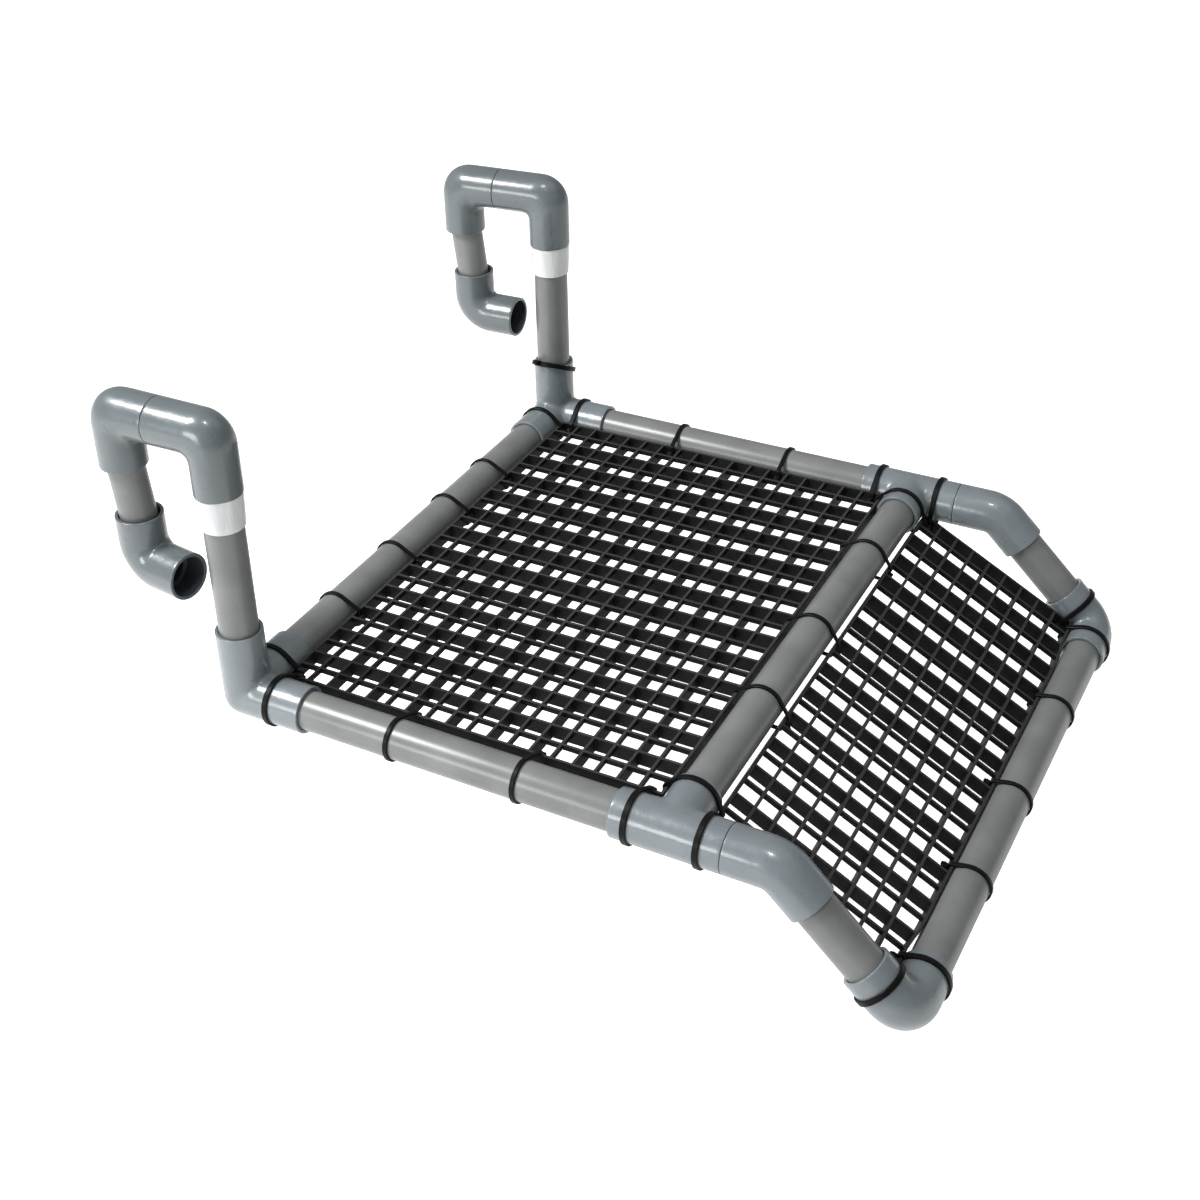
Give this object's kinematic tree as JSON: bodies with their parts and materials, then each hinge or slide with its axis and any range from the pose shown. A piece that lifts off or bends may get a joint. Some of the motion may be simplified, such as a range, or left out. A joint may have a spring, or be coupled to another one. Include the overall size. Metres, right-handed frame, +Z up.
{
  "type": "turtle basking platform",
  "caption": "Basking platform of grey plastic pipe with a level net deck and a sloping net ramp, hung on a tank wall by swivelling pipe hooks.",
  "frame": {"origin": "midway between the two hooks, where the rim of the tank wall seats under them", "axes": "+X from the wall over the deck and down the ramp, +Y to the right rail, +Z up"},
  "size_m": [0.5345, 0.4435, 0.2905],
  "materials": {
    "pipe_grey": "satin",
    "fitting_grey": "semi-gloss",
    "net_black": "satin",
    "tie_black": "satin",
    "clear_sleeve": "cloudy clear"
  },
  "bodies": {
    "platform": {"rear_cross_pipe": "pipe_grey", "middle_cross_pipe": "pipe_grey", "front_cross_pipe": "pipe_grey", "left_side_pipe": "pipe_grey", "left_ramp_pipe": "pipe_grey", "left_corner_fitting": "fitting_grey", "left_tee_fitting": "fitting_grey", "left_ramp_bend": "fitting_grey", "left_foot_elbow": "fitting_grey", "right_side_pipe": "pipe_grey", "right_ramp_pipe": "pipe_grey", "right_corner_fitting": "fitting_grey", "right_tee_fitting": "fitting_grey", "right_ramp_bend": "fitting_grey", "right_foot_elbow": "fitting_grey", "deck_net": "net_black", "ramp_net": "net_black", "rear_rail_tie_1": "tie_black", "rear_rail_tie_2": "tie_black", "rear_rail_tie_3": "tie_black", "rear_rail_tie_4": "tie_black", "rear_rail_tie_5": "tie_black", "rear_rail_tie_6": "tie_black", "middle_rail_tie_1": "tie_black", "middle_rail_tie_2": "tie_black", "middle_rail_tie_3": "tie_black", "middle_rail_tie_4": "tie_black", "middle_rail_tie_5": "tie_black", "front_rail_tie_1": "tie_black", "front_rail_tie_2": "tie_black", "front_rail_tie_3": "tie_black", "front_rail_tie_4": "tie_black", "front_rail_tie_5": "tie_black", "left_rail_tie_1": "tie_black", "left_rail_tie_2": "tie_black", "left_rail_tie_3": "tie_black", "left_rail_tie_4": "tie_black", "left_tee_tie": "tie_black", "left_foot_tie": "tie_black", "right_rail_tie_1": "tie_black", "right_rail_tie_2": "tie_black", "right_rail_tie_3": "tie_black", "right_rail_tie_4": "tie_black", "right_tee_tie": "tie_black", "right_foot_tie": "tie_black", "stray_upright_tie": "tie_black"},
    "left_hook": {"left_upright_pipe": "pipe_grey", "left_clear_sleeve": "clear_sleeve", "left_inner_top_elbow": "fitting_grey", "left_outer_top_elbow": "fitting_grey", "left_hook_drop_pipe": "pipe_grey"},
    "left_toe": {"left_toe_elbow": "fitting_grey"},
    "right_hook": {"right_upright_pipe": "pipe_grey", "right_clear_sleeve": "clear_sleeve", "right_inner_top_elbow": "fitting_grey", "right_outer_top_elbow": "fitting_grey", "right_hook_drop_pipe": "pipe_grey"},
    "right_toe": {"right_toe_elbow": "fitting_grey"}
  },
  "joints": [
    {"name": "left_hook_swivel", "type": "hinge", "parent": "platform", "child": "left_hook", "pos_m": [0.0204, -0.2025, -0.12], "axis": [0, 0, 1], "continuous": true},
    {"name": "left_toe_swivel", "type": "hinge", "parent": "left_hook", "child": "left_toe", "pos_m": [-0.0451, -0.2025, -0.0606], "axis": [0, 0, 1], "continuous": true},
    {"name": "right_hook_swivel", "type": "hinge", "parent": "platform", "child": "right_hook", "pos_m": [0.0204, 0.2025, -0.12], "axis": [0, 0, 1], "continuous": true},
    {"name": "right_toe_swivel", "type": "hinge", "parent": "right_hook", "child": "right_toe", "pos_m": [-0.04494, 0.19793, -0.0606], "axis": [0, 0, 1], "continuous": true}
  ]
}
